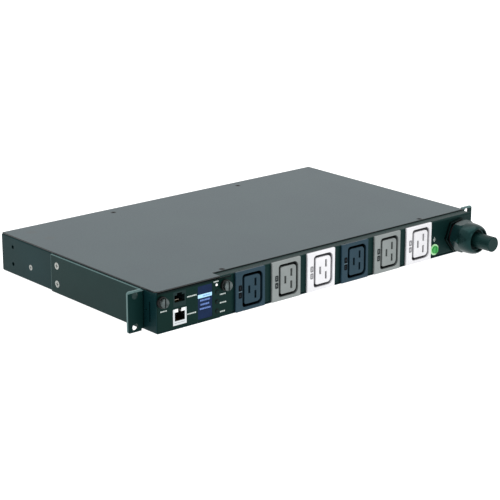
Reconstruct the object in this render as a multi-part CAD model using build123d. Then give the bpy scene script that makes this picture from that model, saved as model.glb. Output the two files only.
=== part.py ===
from build123d import *
import os

# Rack power distribution unit, one rack unit high, in millimetres.
# X runs to the right as seen from the front, Y runs into the rack, Z runs up.
# The origin is on the underside, midway between the ears, in the plane where the ears meet the rails.

# Case
body_width = 442.0
body_height = 43.0
body_depth = 269.2
face_setback = 20.0
sheet = 1.2
bend = 2.0
fit = 0.1
side_rim = 12.0
rear_rim = 23.4
tongue_rim_start = 5.0
flange_depth = 24.0
bottom_flange = 10.0
lid_front_inset = 11.3
lid_rear_inset = 1.4
tongue_corner = 5.0
lid_edge = 0.4

# Rack brackets and ears
ear_span = 482.6
ear_hole_inset = 8.75
ear_hole_pitch = 31.75
ear_hole_r = 3.4
ear_height = 42.0
ear_corner = 2.5
bracket_sheet = 2.0
bracket_bend = 3.0
bracket_length = 154.7
bracket_height = 39.8
bracket_rise = 0.9
bend_relief = 2.0

# Screws and holes of the case
bracket_screw_inset = 10.5
bracket_screw_rise = 20.6
bracket_screw_pitch = 19.4
bracket_screw_r = 2.0
bracket_head_r = 3.7
screw_length = 6.0
cover_screw_r = 1.5
cover_screw_length = 4.5
cover_head_r = 3.1
cover_screw_rear_inset = 15.4
cover_screw_front_inset = 14.9
cover_screws_rear = (136.0, 125.4)
cover_screws_front = (94.7, 66.7)
side_screw_y = 196.0
side_screw_z = 15.8
side_head_r = 2.9
side_screw_r = 1.5
side_hole_inset = 20.6
side_hole_z = 21.2
side_hole_pitch = 18.8
side_hole_r = 2.1
thread_clear = 0.05
recess_length = 1.1
recess_width_part = 0.26
recess_sink = 0.6
side_slot_y = -9.9
side_slot_z = 20.7
side_slot_length = 20.9
side_slot_width = 2.0
dimple_y = -4.6
dimple_z = 21.8
dimple_r = 1.0
flange_hole_r = 0.7
flange_hole_inset = 3.5
flange_hole_first = 28.1
flange_hole_pitch = 143.9

# Outlets
outlet_pitch = 48.1
outlet_start = 37.8
outlet_end_gap = 0.5
bezel_width = 38.4
bezel_height = 42.0
bezel_proud = 2.8
bezel_corner = 0.8
bezel_bevel = 0.5
core_offset = 2.4
core_z = 21.6
core_width = 20.6
core_height = 28.6
core_corner = 1.8
core_key_corner = 4.2
corner_growth = 0.5
core_sink = 0.2
recess_gap = 3.0
recess_depth = 18.5
outlet_wall = 1.4
outlet_depth = 26.0
housing_bevel = 4.2
cutout_clear = 0.15
pin_side_x = 4.05
pin_pitch = 13.0
slot_width = 2.6
slot_height = 8.2
channel_width = 3.4
channel_height = 9.0
channel_start = 3.0
snap_rise = 1.4
snap_length = 5.0
snap_width = 8.0

# Contacts and bars
contact_sheet = 0.6
contact_gap = 1.7
contact_bow = 0.3
contact_lead_in = 3.0
contact_length = 15.0
contact_height = 7.8
contact_set_back = 1.5
tail_thickness = 0.8
tail_height = 6.2
bar_sheet = 1.2
bar_height = 4.4
bar_gap = 4.0
bar_step = 4.0
phase_strip_gap = 0.4
phase_strip_height = 5.0
phase_tab = 8.0
phase_count = 3

# Control module
bay_width = 79.6
faceplate = 1.0
faceplate_lap = 14.0
faceplate_margin = 0.3
faceplate_drop = 0.9
jack_inset = 28.8
sensor_jack_size = (15.7, 15.5)
sensor_jack_z = 30.4
sensor_port = (12.4, 7.2)
sensor_port_z = 30.9
network_jack_size = (16.6, 16.5)
network_jack_z = 12.3
network_port = (11.4, 8.0)
network_port_z = 12.8
insert_wall = 0.5
jack_clear = 0.15
jack_depth = 15.0
port_notch_height = 2.1
sensor_notch_width = 6.2
network_notch_width = 4.2
port_depth = 13.0
light_height = 3.2
light_depth = 3.0
port_wire = 0.45
port_wires = 8
port_wire_pitch = 1.02
port_wire_rise = 2.2
port_wire_start = 2.0
display_inset = 60.3
display_z = 20.45
display_width = 18.0
display_height = 34.3
display_border = 2.2
display_top_border = 1.3
window_sheet = 0.8
display_depth = 8.9
board = 1.6
button_inset = 75.3
button_z = (27.1, 17.3, 7.5)
button_r = 1.7
button_clear = 0.07
button_proud = 0.9
button_edge = 0.3
button_flange_r = 2.2
button_flange = 0.8
button_stem_r = 1.2
button_travel = 0.5
button_reserve = 0.1
switch_size = 4.0
switch_height = 3.5
switch_plunger_r = 1.0
switch_plunger = 1.0
lamp_inset = 75.0
lamp_z = 34.6
lamp_r = 1.3
lamp_proud = 0.4
carrier_sheet = 0.8
carrier_left_gap = 13.4
carrier_right_gap = 0.6
carrier_depth = 118.0
carrier_wall = 32.8
module_board_rise = 0.45
module_board_gap = 1.2
display_board_gap = 0.4

# Thumbscrews
thumb_left_inset = 6.4
thumb_left_z = 31.7
thumb_right_start = 5.7
thumb_right_z = 32.6
thumb_head_r = 5.0
thumb_head = 3.2
thumb_crown = 0.5
thumb_knurls = 18
thumb_knurl = 0.35
thumb_slot = 1.3
thumb_slot_depth = 1.3
thumb_shank_r = 2.6
thumb_thread_r = 1.95
thumb_reach = 8.0
thumb_gap = 0.2
thumb_clear = 0.07
ferrule_r = 5.75
ferrule_height = 3.6
ferrule_edge = 0.7
ferrule_neck_r = 3.6
left_tab_width = 11.3
left_tab_height = 18.0

# Earth screw
earth_inset = 57.5
earth_z = 9.6
earth_washer_r = 6.1
earth_washer_clear = 0.2
earth_washer = 0.9
earth_head_r = 4.2
earth_head = 2.4
earth_head_edge = 0.6
earth_shank_r = 2.45
earth_reach = 8.0
earth_slot = 1.2

# Cable gland and cord
gland_inset = 23.0
gland_z = 21.0
gland_turn = 8.0
gland_hex_r = 19.05
gland_edge = 0.5
gland_flange = 3.6
gland_groove = 2.0
gland_neck_r = 13.2
gland_barrel_r = 12.5
gland_barrel = 12.0
gland_bore_r = 9.0
gland_neck = 17.0
locknut_hex_r = 17.4
locknut = 5.0
dome_length = 28.4
dome_straight = 15.5
dome_bulge = 1.3
dome_bulge_back = 0.5
dome_nose_r = 15.5
dome_mouth_r = 11.3
dome_thread_clear = 0.1
seal_length = 9.0
cord_r = 8.35
cord_out = 54.0
cord_in = 12.0
cord_edge = 0.5

# Terminal block, wires and current transformers
core_wire_r = 2.2
core_ring_r = 4.9
core_run = 11.0
core_first_angle = 198.0
wire_sides = 6
wire_bend = 6.0
block_side_gap = 5.3
pole_pitch = 11.0
pole_count = 5
pole_z = 15.0
block_y = 30.0
block_depth = 24.0
block_height = 23.8
block_end = 3.0
pole_mouth = 5.4
pole_hole = 9.0
clamp_inset = 5.5
clamp_r = 2.4
clamp_well = 5.4
clamp_height = 1.6
clamp_slot = 0.7
transformer_r = 8.0
transformer_length = 8.0
transformer_pitch = 12.0
transformer_bore_r = 3.0
phase_lead_inset = 10.9
return_lead_inset = 54.9
lead_pitch = 10.0
lead_turn_y = 108.0
lead_turn_step = 6.0

# Boards and their parts
standoff_r = 2.6
standoff = 2.8
board_screw_r = 1.4
board_head_r = 2.6
board_head = 1.5
board_inset = 4.0
meter_board_size = (72.0, 48.0)
meter_board_inset = 5.8
meter_board_y = 56.0
supply_board_size = (104.0, 74.0)
supply_board_inset = 29.4
supply_board_y = 58.0
module_post_insets = (6.5, 7.5)
module_post_rows = (40.0, 88.0)
supply_transformer = (26.0, 32.0, 22.0)
supply_transformer_place = (14.0, 20.0)
relay = (14.0, 24.0, 11.0)
relay_place = (78.0, 10.0)
capacitor_r = 6.5
capacitor_height = 20.0
capacitor_place = (54.0, 18.0)
capacitor_pitch = 17.0
capacitor_count = 3
meter_plug = (16.0, 7.0, 6.0)
meter_plug_inset = 30.0
meter_plug_edge = 2.0
processor = (14.0, 14.0, 2.2)
processor_place = (12.0, 40.0)
memory = (18.0, 10.0, 3.0)
memory_place = (10.0, 62.0)

# Bay wall, plug and signal cable
bay_wall_gap = 0.2
bay_wall_height = 39.0
bay_foot = 9.0
bay_depth = 150.0
plug_size = (30.0, 9.0, 9.0)
plug_lap = 8.0
socket_wall = (3.0, 2.0)
socket_lap = 5.0
ribbon_width = 7.0
ribbon_thickness = 1.0
ribbon_run = 14.0
ribbon_bend = 5.0

# Places worked out from the sizes above
over = 1.0      # how far a cut runs past the face it opens
half = body_width / 2
side_in = half - sheet
top_under = body_height - sheet
face_y = -face_setback
wall_y = face_y + faceplate
wall_in = wall_y + sheet
bend_end = wall_in + bend - sheet
rear_y = wall_y + body_depth
rear_in = rear_y - sheet
bay_right_x = bay_width - half
faceplate_right_x = bay_right_x + faceplate_lap
faceplate_z = (sheet + faceplate_margin, top_under - faceplate_drop)
bracket_screw_y = bracket_length - bracket_screw_inset
bracket_screw_zs = [bracket_screw_rise + side * bracket_screw_pitch / 2 for side in (-1, 1)]
bezel_face_y = wall_y - bezel_proud
outlet_rear_y = wall_y + outlet_depth
bar_y = outlet_rear_y + bar_gap
recess_width = core_width + 2 * recess_gap
recess_height = core_height + 2 * recess_gap
earth_x = half - earth_inset
gland_x = half - gland_inset
outlet_first_x = bay_right_x + outlet_start
outlet_room = earth_x - earth_washer_r - outlet_end_gap - bezel_width / 2 - outlet_first_x
outlet_centres = [outlet_first_x + outlet_pitch * i for i in range(1 + int(outlet_room // outlet_pitch))]
jack_x = jack_inset - half
display_x = display_inset - half
button_x = button_inset - half
lamp_x = lamp_inset - half
board_back_y = wall_y + display_depth
carrier_left_x = carrier_left_gap - half
carrier_right_x = bay_right_x - carrier_right_gap
module_board_z = network_jack_z + network_jack_size[1] / 2 + module_board_rise
module_board_top = module_board_z + board
module_board_end = wall_y + carrier_depth - plug_lap
thumb_places = [(thumb_left_inset - half, thumb_left_z), (bay_right_x + thumb_right_start, thumb_right_z)]
dome_y = wall_y - gland_flange - gland_groove
neck_end = wall_y - gland_flange - gland_neck
block_right_x = side_in - block_side_gap
poles = [block_right_x - block_end - pole_pitch * (pole_count - 0.5 - i) for i in range(pole_count)]
meter_board_right = side_in - meter_board_inset
meter_board_x = (meter_board_right - meter_board_size[0], meter_board_right)
meter_board_ys = (meter_board_y, meter_board_y + meter_board_size[1])
supply_board_left = bay_right_x + supply_board_inset
supply_board_x = (supply_board_left, supply_board_left + supply_board_size[0])
supply_board_ys = (supply_board_y, supply_board_y + supply_board_size[1])
board_foot_z = sheet + standoff
board_top = board_foot_z + board
bay_mid_x = (carrier_left_x + bay_right_x) / 2


def block(x0, x1, y0, y1, z0, z1):
    return Pos((x0 + x1) / 2, (y0 + y1) / 2, (z0 + z1) / 2) * Box(x1 - x0, y1 - y0, z1 - z0)


def rod(x, z, radius, y0, y1):
    """A round bar along Y."""
    return Pos(x, (y0 + y1) / 2, z) * Rot(90, 0, 0) * Cylinder(radius, y1 - y0)


def post(x, y, radius, z0, z1):
    """A round bar along Z."""
    return Pos(x, y, (z0 + z1) / 2) * Cylinder(radius, z1 - z0)


def cross_rod(y, z, radius, x0, x1):
    """A round bar along X."""
    return Pos((x0 + x1) / 2, y, z) * Rot(0, 90, 0) * Cylinder(radius, abs(x1 - x0))


def upright(sketch, y0, y1):
    """A sketch drawn in X and Z, as thick as the stretch from y0 to y1."""
    plane = Plane(origin=(0, y1, 0), x_dir=(1, 0, 0), z_dir=(0, -1, 0))
    return extrude(plane * sketch, amount=y1 - y0)


def flat(sketch, z0, z1):
    """A sketch drawn in X and Y, as thick as the stretch from z0 to z1."""
    return extrude(Pos(0, 0, z0) * sketch, amount=z1 - z0)


def along_x(sketch, x0, x1):
    """A sketch drawn in Y and Z, as thick as the stretch from x0 to x1."""
    plane = Plane(origin=(x0, 0, 0), x_dir=(0, 1, 0), z_dir=(1, 0, 0))
    return extrude(plane * sketch, amount=x1 - x0)


def hex_post(x, y, corner_r, z0, z1):
    """A hexagonal bar along Z."""
    return flat(Pos(x, y) * RegularPolygon(corner_r, 6), z0, z1)


def wire(points):
    """An insulated wire with flat sides, along straight runs joined by arcs."""
    path = FilletPolyline(*points, radius=wire_bend)
    start = Plane(origin=path @ 0, z_dir=path % 0)
    return sweep(start * RegularPolygon(core_wire_r, wire_sides), path=path)


def countersunk_screw(head_r, shank_r, length):
    """A flat-headed screw with a cross recess that points down, its head's top at the origin."""
    head = head_r - shank_r
    profile = make_face(Polyline((0, 0), (head_r, 0), (shank_r, -head), (shank_r, -length), (0, -length),
                                 close=True))
    body = revolve(Plane.XZ * profile, Axis.Z)
    recess = Rectangle(head_r * recess_length, head_r * recess_width_part)
    recess += Rectangle(head_r * recess_width_part, head_r * recess_length)
    return body - flat(recess, -head * recess_sink, over)


def countersink(head_r, shank_r, depth):
    """The space of a flat-headed screw, cut a little wider than the screw."""
    head = head_r - shank_r
    wide, narrow = head_r + thread_clear, shank_r + thread_clear
    profile = make_face(Polyline((0, 0), (wide, 0), (narrow, -head), (narrow, -depth), (0, -depth),
                                 close=True))
    return revolve(Plane.XZ * profile, Axis.Z)


def facing(side):
    """Turns a screw that points down so that its head faces left or right."""
    return Rot(0, 90 * side, 0)


# Case

def base_chassis():
    """Floor, side walls, rear wall, inward rims and a tab, folded from one sheet."""
    shell = block(-half, half, face_y, rear_y, 0, top_under)
    long_edges = shell.edges().filter_by(Axis.Y)
    rear_edges = shell.edges().filter_by(Axis.X).group_by(Axis.Y)[-1]
    shell = fillet(long_edges + rear_edges, bend)
    hollow = block(-side_in, side_in, face_y - over, rear_in, sheet, top_under - sheet)
    shell -= fillet(hollow.edges().filter_by(Axis.Y), bend - sheet)
    shell -= block(-half + side_rim, half - side_rim, wall_y + flange_depth, rear_y - rear_rim, sheet,
                   body_height)
    # Room for the control module under the lid's tongue
    shell -= block(-side_in, bay_right_x, face_y - over, wall_y, sheet, faceplate_z[1] + faceplate_margin)
    shell -= block(-half + bend, bay_right_x, face_y - over, wall_y + tongue_rim_start,
                   top_under - 2 * sheet, body_height)
    # Room for the front panel, its bends and its flange
    shell -= block(bay_right_x, half + over, face_y - over, wall_y, -over, body_height)
    shell -= block(bay_right_x, half + over, wall_y - over, bend_end, sheet, body_height)
    shell -= block(bay_right_x - fit, half - bend, wall_y - over, wall_y + flange_depth + fit,
                   top_under - 2 * sheet, body_height)
    tab_top = top_under - 2 * sheet
    shell += block(-side_in - fit, -side_in + left_tab_width, wall_y, wall_in, tab_top - left_tab_height,
                   tab_top)
    shell -= rod(*thumb_places[0], thumb_thread_r + thumb_clear, face_y - over, wall_in + over)
    for side in (-1, 1):
        for z in bracket_screw_zs:
            shell -= cross_rod(bracket_screw_y, z, bracket_screw_r + thread_clear, side * (side_in - over),
                               side * (half + over))
        for row in (-1, 1):
            z = side_hole_z + row * side_hole_pitch / 2
            shell -= cross_rod(rear_y - side_hole_inset, z, side_hole_r, side * (side_in - over),
                               side * (half + over))
    side_screw_place = Pos(-half, side_screw_y, side_screw_z) * facing(-1)
    shell -= side_screw_place * countersink(side_head_r, side_screw_r, screw_length)
    shell -= block(-half - over, -side_in + over, side_slot_y - side_slot_width / 2,
                   side_slot_y + side_slot_width / 2,
                   side_slot_z - side_slot_length / 2, side_slot_z + side_slot_length / 2)
    shell -= cross_rod(dimple_y, dimple_z, dimple_r, -half - over, -side_in + over)
    for x, y in rear_screw_places():
        shell -= Pos(x, y, body_height) * countersink(cover_head_r, cover_screw_r, cover_screw_length)
    return shell


def rear_screw_places():
    left, right = cover_screws_rear
    return [(left - half, rear_y - cover_screw_rear_inset), (half - right, rear_y - cover_screw_rear_inset)]


def front_screw_places():
    left, right = cover_screws_front
    return [(left - half, wall_y + cover_screw_front_inset), (half - right, wall_y + cover_screw_front_inset)]


def front_panel():
    """A folded channel: the face, a wide top flange under the lid and a bottom flange on the floor."""
    flange_y, bottom_y = wall_y + flange_depth, wall_y + bottom_flange
    flange_z = top_under - sheet
    section = make_face(Polyline((flange_y, top_under), (wall_y, top_under), (wall_y, sheet),
                                 (bottom_y, sheet), (bottom_y, 2 * sheet), (wall_in, 2 * sheet),
                                 (wall_in, flange_z), (flange_y, flange_z), close=True))
    outer = [section.vertices().sort_by_distance((wall_y, z, 0))[0] for z in (sheet, top_under)]
    section = fillet(outer, bend)
    inner = [section.vertices().sort_by_distance((wall_in, z, 0))[0] for z in (2 * sheet, flange_z)]
    section = fillet(inner, bend - sheet)
    panel = along_x(section, bay_right_x, half)
    for y0, y1, z0, z1 in ((wall_in, bottom_y, 0, flange_z - over),
                           (bend_end, flange_y, flange_z - over, body_height)):
        panel -= block(half - bend - fit, half + over, y0, y1 + over, z0, z1)
    for x in outlet_centres:
        panel -= upright(Pos(x + core_offset, core_z) * housing_outline(cutout_clear), wall_y - over,
                         wall_in + over)
    panel -= rod(earth_x, earth_z, earth_shank_r + thread_clear, wall_y - over, wall_in + over)
    panel -= rod(gland_x, gland_z, gland_barrel_r + thread_clear, wall_y - over, wall_in + over)
    panel -= rod(*thumb_places[1], thumb_thread_r + thumb_clear, wall_y - over, wall_in + over)
    for i in range(2):
        x = bay_right_x + flange_hole_first + flange_hole_pitch * i
        panel -= post(x, wall_y + flange_hole_inset, flange_hole_r, flange_z - over, body_height)
    for x, y in front_screw_places():
        panel -= Pos(x, y, body_height) * countersink(cover_head_r, cover_screw_r, cover_screw_length)
    return panel


def top_cover():
    """A flat lid that ends a little way back on the flange, with a tongue over the control module."""
    front_y = wall_y + lid_front_inset
    back_y = rear_y - lid_rear_inset
    face = make_face(Polyline((-half, back_y), (-half, face_y), (bay_right_x, face_y), (bay_right_x, front_y),
                              (half, front_y), (half, back_y), close=True))
    tip = face.vertices().sort_by_distance((-half, face_y, 0))[0]
    lid = flat(fillet(tip, tongue_corner), top_under, body_height)
    lid = chamfer(lid.edges().group_by(Axis.Z)[-1], lid_edge)
    for x, y in rear_screw_places() + front_screw_places():
        lid -= Pos(x, y, body_height) * countersink(cover_head_r, cover_screw_r, cover_screw_length)
    return lid


def bay_wall():
    """A partition that walls off the control module, with feet on the floor."""
    x0 = bay_right_x + bay_wall_gap
    depth_y = wall_in + bay_depth
    wall = block(x0, x0 + sheet, bend_end, depth_y, 2 * sheet, bay_wall_height)
    wall += block(-side_in + fit, x0 + sheet, depth_y, depth_y + sheet, 2 * sheet, bay_wall_height)
    wall += block(x0, x0 + bay_foot, wall_y + bottom_flange + fit, depth_y + sheet, sheet, 2 * sheet)
    wall += block(-side_in + bend, x0, depth_y, depth_y + bay_foot, sheet, 2 * sheet)
    return wall


def rack_bracket(side):
    """Side plate with its ear, for the left side when side is -1."""
    outer = half + bracket_sheet
    section = make_face(Polyline((half, bracket_length), (outer, bracket_length), (outer, 0),
                                 (ear_span / 2, 0),
                                 (ear_span / 2, -bracket_sheet), (half, -bracket_sheet), close=True))
    fold_in = section.vertices().sort_by_distance((outer, 0, 0))[0]
    section = fillet(fold_in, bracket_bend - bracket_sheet)
    fold_out = section.vertices().sort_by_distance((half, -bracket_sheet, 0))[0]
    section = fillet(fold_out, bracket_bend)
    ear_z0 = (body_height - ear_height) / 2
    ear_z1 = ear_z0 + ear_height
    body = flat(section, ear_z0, ear_z1)
    for z0, z1 in ((-over, bracket_rise), (bracket_rise + bracket_height, body_height)):
        body -= block(half - over, outer + bend_relief, 0, bracket_length + over, z0, z1)
    for z0, z1 in ((-over, ear_z0 + bend_relief), (ear_z1 - bend_relief, body_height)):
        body -= block(half - over, outer + bend_relief, -bracket_sheet - over, bracket_bend, z0, z1)
    tips = body.edges().filter_by(Axis.Y).group_by(Axis.X)[-1]
    body = fillet(tips, ear_corner)
    for row in (-1, 1):
        z = body_height / 2 + row * ear_hole_pitch / 2
        body -= rod(ear_span / 2 - ear_hole_inset, z, ear_hole_r, -bracket_sheet - over, over)
    for z in bracket_screw_zs:
        place = Pos(outer, bracket_screw_y, z) * facing(1)
        body -= place * countersink(bracket_head_r, bracket_screw_r, screw_length)
    return body if side > 0 else mirror(body, Plane.YZ)


def bracket_screws():
    places = [Pos(side * (half + bracket_sheet), bracket_screw_y, z) * facing(side)
              for side in (-1, 1) for z in bracket_screw_zs]
    return [place * countersunk_screw(bracket_head_r, bracket_screw_r, screw_length) for place in places]


def cover_screws():
    return [Pos(x, y, body_height) * countersunk_screw(cover_head_r, cover_screw_r, cover_screw_length)
            for x, y in rear_screw_places() + front_screw_places()]


def side_screw():
    place = Pos(-half, side_screw_y, side_screw_z) * facing(-1)
    return place * countersunk_screw(side_head_r, side_screw_r, screw_length)


# Outlets

def keyed_outline(margin=0.0):
    """The core's outline, or one a margin wider: rounder on the right, so a plug fits one way up."""
    face = Rectangle(core_width + 2 * margin, core_height + 2 * margin)
    rounding = margin * corner_growth
    face = fillet(face.vertices().group_by(Axis.X)[0], core_corner + rounding)
    return fillet(face.vertices().sort_by(Axis.X)[-2:], core_key_corner + rounding)


def housing_outline(margin=0.0):
    """The sleeve behind the panel, or the cut-out around it, with bevelled corners on the keyed side."""
    wall = recess_gap + outlet_wall + margin
    face = Rectangle(core_width + 2 * wall, core_height + 2 * wall)
    return chamfer(face.vertices().group_by(Axis.X)[-1], housing_bevel)


def pin_places():
    """Earth pin on the left, line above and neutral below on the right."""
    return [(-pin_side_x, 0.0), (pin_side_x, pin_pitch / 2), (pin_side_x, -pin_pitch / 2)]


def outlet_shell(x):
    """Bezel and sleeve of one moulding, open at both ends, with a snap on each side."""
    centre = x + core_offset
    bezel = upright(Pos(x, body_height / 2) * RectangleRounded(bezel_width, bezel_height, bezel_corner),
                    bezel_face_y, wall_y)
    bezel = chamfer(bezel.edges().group_by(Axis.Y)[0], bezel_bevel)
    shell = bezel + upright(Pos(centre, core_z) * housing_outline(), wall_y, outlet_rear_y)
    shell -= upright(Pos(centre, core_z) * keyed_outline(recess_gap), bezel_face_y - over,
                     outlet_rear_y + over)
    for side in (-1, 1):
        root = centre + side * (recess_width / 2 + outlet_wall - fit)
        start = wall_in + fit
        wedge = make_face(Polyline((root, start), (root + side * (snap_rise + fit), start),
                                   (root, start + snap_length), close=True))
        shell += flat(wedge, core_z - snap_width / 2, core_z + snap_width / 2)
    return shell


def outlet_core(x):
    """Contact carrier: the core that a plug closes around, on a base that fills the sleeve."""
    centre = x + core_offset
    core = upright(Pos(centre, core_z) * keyed_outline(), bezel_face_y + core_sink, outlet_rear_y)
    core += upright(Pos(centre, core_z) * keyed_outline(recess_gap - fit), bezel_face_y + recess_depth,
                    outlet_rear_y)
    for dx, dz in pin_places():
        px, pz = centre + dx, core_z + dz
        core -= block(px - slot_width / 2, px + slot_width / 2, bezel_face_y - over,
                      bezel_face_y + channel_start + over,
                      pz - slot_height / 2, pz + slot_height / 2)
        core -= block(px - channel_width / 2, px + channel_width / 2, bezel_face_y + channel_start,
                      outlet_rear_y + over,
                      pz - channel_height / 2, pz + channel_height / 2)
    return core


def contact(x, z, tail_end):
    """Two sprung leaves that grip a pin, joined at a web with a tail to the rear."""
    mouth = bezel_face_y + channel_start + contact_set_back
    web = mouth + contact_length
    throat, waist = mouth + contact_lead_in, mouth + contact_lead_in / 2
    inner = contact_gap / 2
    outer = inner + contact_sheet
    leaf = make_face(Polyline((outer, web), (inner, web), (inner, throat), (inner - contact_bow, waist),
                              (inner, mouth),
                              (outer, mouth), (outer - contact_bow, waist), (outer, throat), close=True))
    right = flat(leaf, z - contact_height / 2, z + contact_height / 2)
    body = Pos(x, 0, 0) * (right + mirror(right, Plane.YZ))
    body += block(x - outer, x + outer, web, web + contact_sheet, z - contact_height / 2,
                  z + contact_height / 2)
    return body + block(x - tail_thickness / 2, x + tail_thickness / 2, web, tail_end, z - tail_height / 2,
                        z + tail_height / 2)


def outlet_contacts():
    """Earth, line and neutral contacts of every outlet, the line tails as long as their phase bars need."""
    contacts = []
    for i, x in enumerate(outlet_centres):
        for pin, (dx, dz) in enumerate(pin_places()):
            tail_end = bar_y + bar_step * (1 + i % phase_count) if pin == 1 else bar_y
            contacts.append(contact(x + core_offset + dx, core_z + dz, tail_end))
    return contacts


def return_bars():
    """The earth bar and the neutral bar, alike, each along the tails of its own contacts."""
    x0 = outlet_centres[0] + core_offset - phase_tab
    x1 = outlet_centres[-1] + core_offset + phase_tab
    return [block(x0, x1, bar_y, bar_y + bar_sheet, z - bar_height / 2, z + bar_height / 2)
            for z in (core_z, core_z - pin_pitch / 2)]


def lead_ends():
    """Where the phase leads and then the two return leads meet their bars."""
    phases = [outlet_centres[-1] - phase_lead_inset - lead_pitch * i for i in range(phase_count)]
    first_return = outlet_centres[-1] - return_lead_inset
    returns = [first_return - lead_pitch * i for i in range(pole_count - phase_count)]
    return phases + returns


def phase_bars():
    """One comb for each phase: a strip above the tails, a tab down to each tail and one for its lead."""
    bars = []
    line_x, line_z = pin_places()[1]
    tail_top = core_z + line_z + tail_height / 2
    for phase, lead_x in zip(range(phase_count), lead_ends()):
        y = bar_y + bar_step * (1 + phase)
        tails = [x + core_offset + line_x for x in outlet_centres[phase::phase_count]]
        x0, x1 = min(tails + [lead_x]) - phase_tab / 2, max(tails + [lead_x]) + phase_tab / 2
        strip_z = tail_top + phase_strip_gap
        comb = block(x0, x1, y, y + bar_sheet, strip_z, strip_z + phase_strip_height)
        for x in tails:
            comb += block(x - phase_tab / 2, x + phase_tab / 2, y, y + bar_sheet, tail_top - tail_height,
                          strip_z)
        comb += block(lead_x - phase_tab / 2, lead_x + phase_tab / 2, y, y + bar_sheet,
                      pole_z - phase_tab / 2, strip_z)
        bars.append(comb)
    return bars


# Control module

def control_faceplate():
    z0, z1 = faceplate_z
    plate = block(-side_in + faceplate_margin, faceplate_right_x, face_y, wall_y, z0, z1)
    for (width, height), z in ((sensor_jack_size, sensor_jack_z), (network_jack_size, network_jack_z)):
        side, rise = width / 2 + jack_clear, height / 2 + jack_clear
        plate -= block(jack_x - side, jack_x + side, face_y - over, wall_y + over, z - rise, z + rise)
    plate -= block(display_x - display_width / 2, display_x + display_width / 2, face_y - over, wall_y + over,
                   display_z - display_height / 2, display_z + display_height / 2)
    for z in button_z:
        plate -= rod(button_x, z, button_r + button_clear, face_y - over, wall_y + over)
    plate -= rod(lamp_x, lamp_z, lamp_r + thread_clear, face_y - over, wall_y + over)
    for x, z in thumb_places:
        plate -= rod(x, z, ferrule_neck_r + thread_clear, face_y - over, wall_y + over)
    return plate


def module_carrier():
    """A tray that carries the module's board along the floor."""
    end_y = wall_y + carrier_depth
    tray = block(carrier_left_x, carrier_right_x, wall_y, end_y, sheet, sheet + carrier_sheet)
    for x in (carrier_left_x, carrier_right_x - carrier_sheet):
        tray += block(x, x + carrier_sheet, wall_y, end_y, sheet, sheet + carrier_wall)
    return tray


def module_board():
    """The horizontal board between the two jacks, notched for the display's board."""
    left = carrier_left_x + carrier_sheet + module_board_gap
    right = carrier_right_x - carrier_sheet - display_board_gap
    front = wall_y + module_board_gap
    notch_x = display_x - display_width / 2 - display_border - module_board_gap - fit
    notch_y = board_back_y + board
    outline = Polyline((left, front), (notch_x, front), (notch_x, notch_y), (right, notch_y),
                       (right, module_board_end),
                       (left, module_board_end), close=True)
    return flat(make_face(outline), module_board_z, module_board_top)


def port(width, height, z, notch_width):
    """The space of a plug: its body and the notch above it for its latch."""
    top = z + height / 2
    space = block(jack_x - width / 2, jack_x + width / 2, face_y - over, face_y + port_depth,
                  z - height / 2, top)
    return space + block(jack_x - notch_width / 2, jack_x + notch_width / 2, face_y - over,
                         face_y + port_depth,
                         top, top + port_notch_height)


def sensor_jack():
    width, height = sensor_jack_size
    body = block(jack_x - width / 2, jack_x + width / 2, face_y, wall_y + jack_depth,
                 sensor_jack_z - height / 2, sensor_jack_z + height / 2)
    body += block(jack_x - width / 2, jack_x + width / 2, wall_y + module_board_gap, wall_y + jack_depth,
                  module_board_top, sensor_jack_z)
    return body - port(*sensor_port, sensor_port_z, sensor_notch_width)


def network_jack_bay():
    """Left, right and bottom of the room inside the network jack's frame, which is open at the top."""
    width, height = network_port
    bottom = network_port_z - height / 2
    return jack_x - width / 2 - insert_wall, jack_x + width / 2 + insert_wall, bottom - insert_wall


def network_jack():
    """White frame of the lower jack, open at the top between its two lights."""
    width, height = network_jack_size
    top = network_jack_z + height / 2
    x0, x1, z0 = network_jack_bay()
    body = block(jack_x - width / 2, jack_x + width / 2, face_y, wall_y + jack_depth,
                 network_jack_z - height / 2, top)
    body += block(jack_x - width / 2, jack_x + width / 2, wall_y + port_depth, wall_y + jack_depth,
                  network_jack_z, module_board_z)
    return body - block(x0, x1, face_y - over, face_y + port_depth, z0, top + over)


def light_places():
    """Each light's X range, beside the latch notch, and the height of its foot."""
    x0, x1, z0 = network_jack_bay()
    foot = network_jack_z + network_jack_size[1] / 2 - light_height
    return [(x0, jack_x - network_notch_width / 2, foot), (jack_x + network_notch_width / 2, x1, foot)]


def network_jack_insert():
    """Black liner of the lower jack, notched for its lights."""
    x0, x1, z0 = network_jack_bay()
    top = network_jack_z + network_jack_size[1] / 2
    liner = block(x0, x1, face_y, face_y + port_depth, z0, top)
    liner -= port(*network_port, network_port_z, network_notch_width)
    for left, right, foot in light_places():
        liner -= block(left, right, face_y - over, face_y + light_depth, foot, top + over)
    return liner


def jack_lights():
    return [block(left, right, face_y, face_y + light_depth, foot, foot + light_height)
            for left, right, foot in light_places()]


def jack_contacts():
    """Sprung wires along the bottom of each port."""
    wires = []
    for (width, height), z in ((sensor_port, sensor_port_z), (network_port, network_port_z)):
        bottom = z - height / 2
        front, back = face_y + port_wire_start, face_y + port_depth
        spring = make_face(Polyline((front, bottom), (back, bottom + port_wire_rise),
                                    (back, bottom + port_wire_rise + port_wire),
                                    (front, bottom + port_wire), close=True))
        for i in range(port_wires):
            x = jack_x + (i - (port_wires - 1) / 2) * port_wire_pitch
            wires.append(along_x(spring, x - port_wire / 2, x + port_wire / 2))
    return wires


def display_module():
    side, rise = display_width / 2 + display_border, display_height / 2 + display_top_border
    return block(display_x - side, display_x + side, wall_y, board_back_y, display_z - rise, display_z + rise)


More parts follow.
